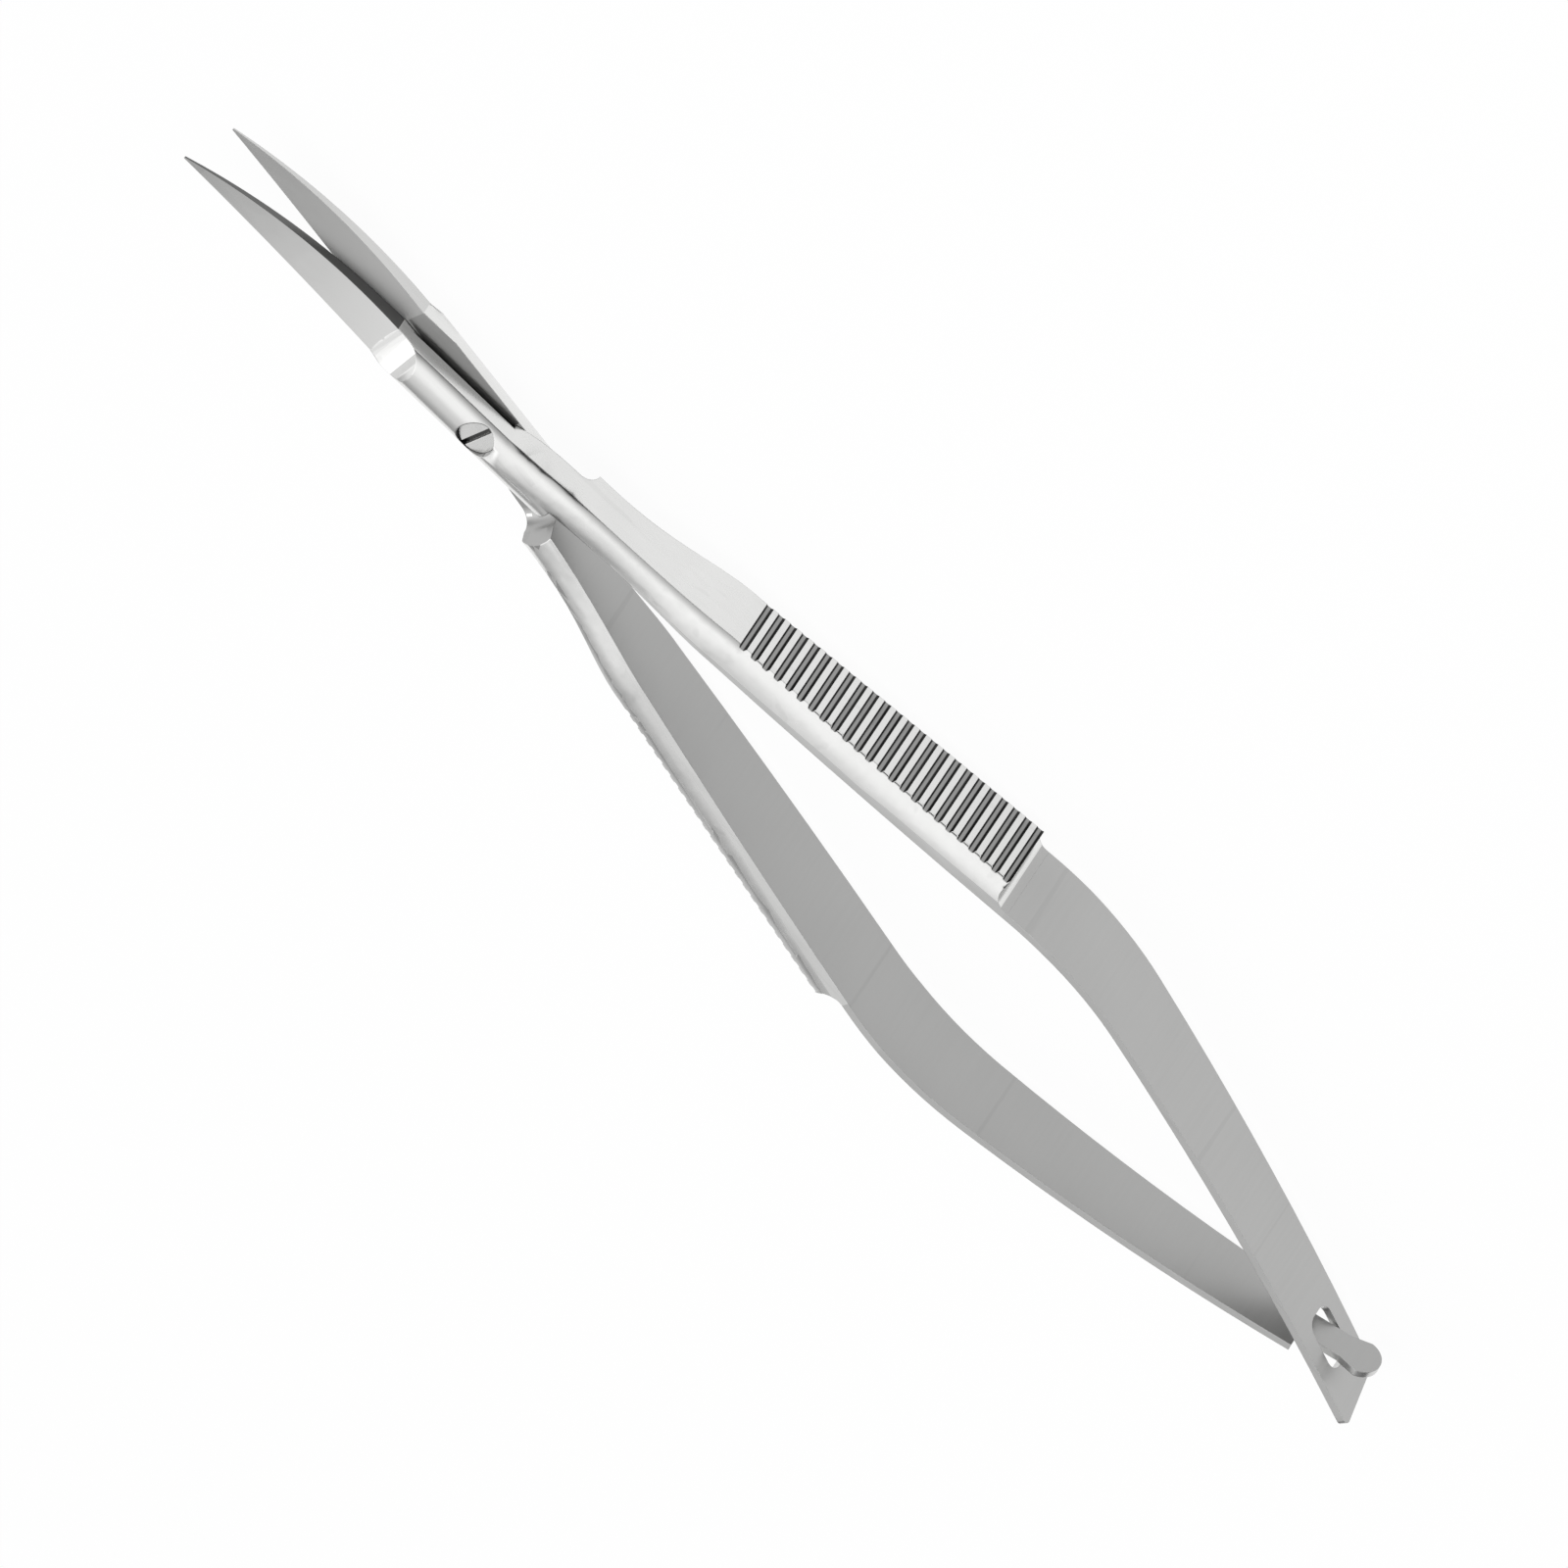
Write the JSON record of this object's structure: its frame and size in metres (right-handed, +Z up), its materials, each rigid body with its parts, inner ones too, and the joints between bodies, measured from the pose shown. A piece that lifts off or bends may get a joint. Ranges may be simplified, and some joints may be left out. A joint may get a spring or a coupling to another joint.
{
  "type": "cuticle scissors",
  "caption": "Spring-handled cuticle scissors: bowed pointed blades on a screw pivot, grooved grips and thin spring leaves hooked together at the tail.",
  "frame": {"origin": "middle of the underside of the box round the scissors lying on one side, at rest and open", "axes": "+X from the spring tail to the tips of the blades, +Y across the way the arms open, +Z up along the pivot screw, out of its slotted head"},
  "size_m": [0.12, 0.0208, 0.0071],
  "materials": {
    "upper_arm": "satin",
    "lower_arm": "satin",
    "pivot_screw": "satin",
    "upper_spring_leaf": "satin",
    "lower_spring_leaf": "satin"
  },
  "bodies": {
    "upper_arm": {"upper_arm": "upper_arm"},
    "lower_arm": {"lower_arm": "lower_arm", "pivot_screw": "pivot_screw"},
    "upper_spring_leaf": {"upper_spring_leaf": "upper_spring_leaf"},
    "lower_spring_leaf": {"lower_spring_leaf": "lower_spring_leaf"}
  },
  "joints": [
    {"name": "pivot", "type": "hinge", "parent": "upper_arm", "child": "lower_arm", "pos_m": [0.03215, 0, 0.00358], "axis": [0, 0, 1], "range_deg": [0, 10.2], "stiffness_Nm_per_rad": 0.3},
    {"name": "upper_leaf_flex", "type": "hinge", "parent": "upper_arm", "child": "upper_spring_leaf", "pos_m": [-0.01611, -0.00849, 0.00358], "axis": [0, 0, 1], "range_deg": [0, 12.1]},
    {"name": "lower_leaf_flex", "type": "hinge", "parent": "lower_arm", "child": "lower_spring_leaf", "pos_m": [-0.01611, 0.00849, 0.00358], "axis": [0, 0, 1], "range_deg": [-11, 0]}
  ],
  "couplings": [
    {"joint": "upper_leaf_flex", "follows": "pivot", "ratio": 1.177},
    {"joint": "lower_leaf_flex", "follows": "pivot", "ratio": -1.062}
  ]
}
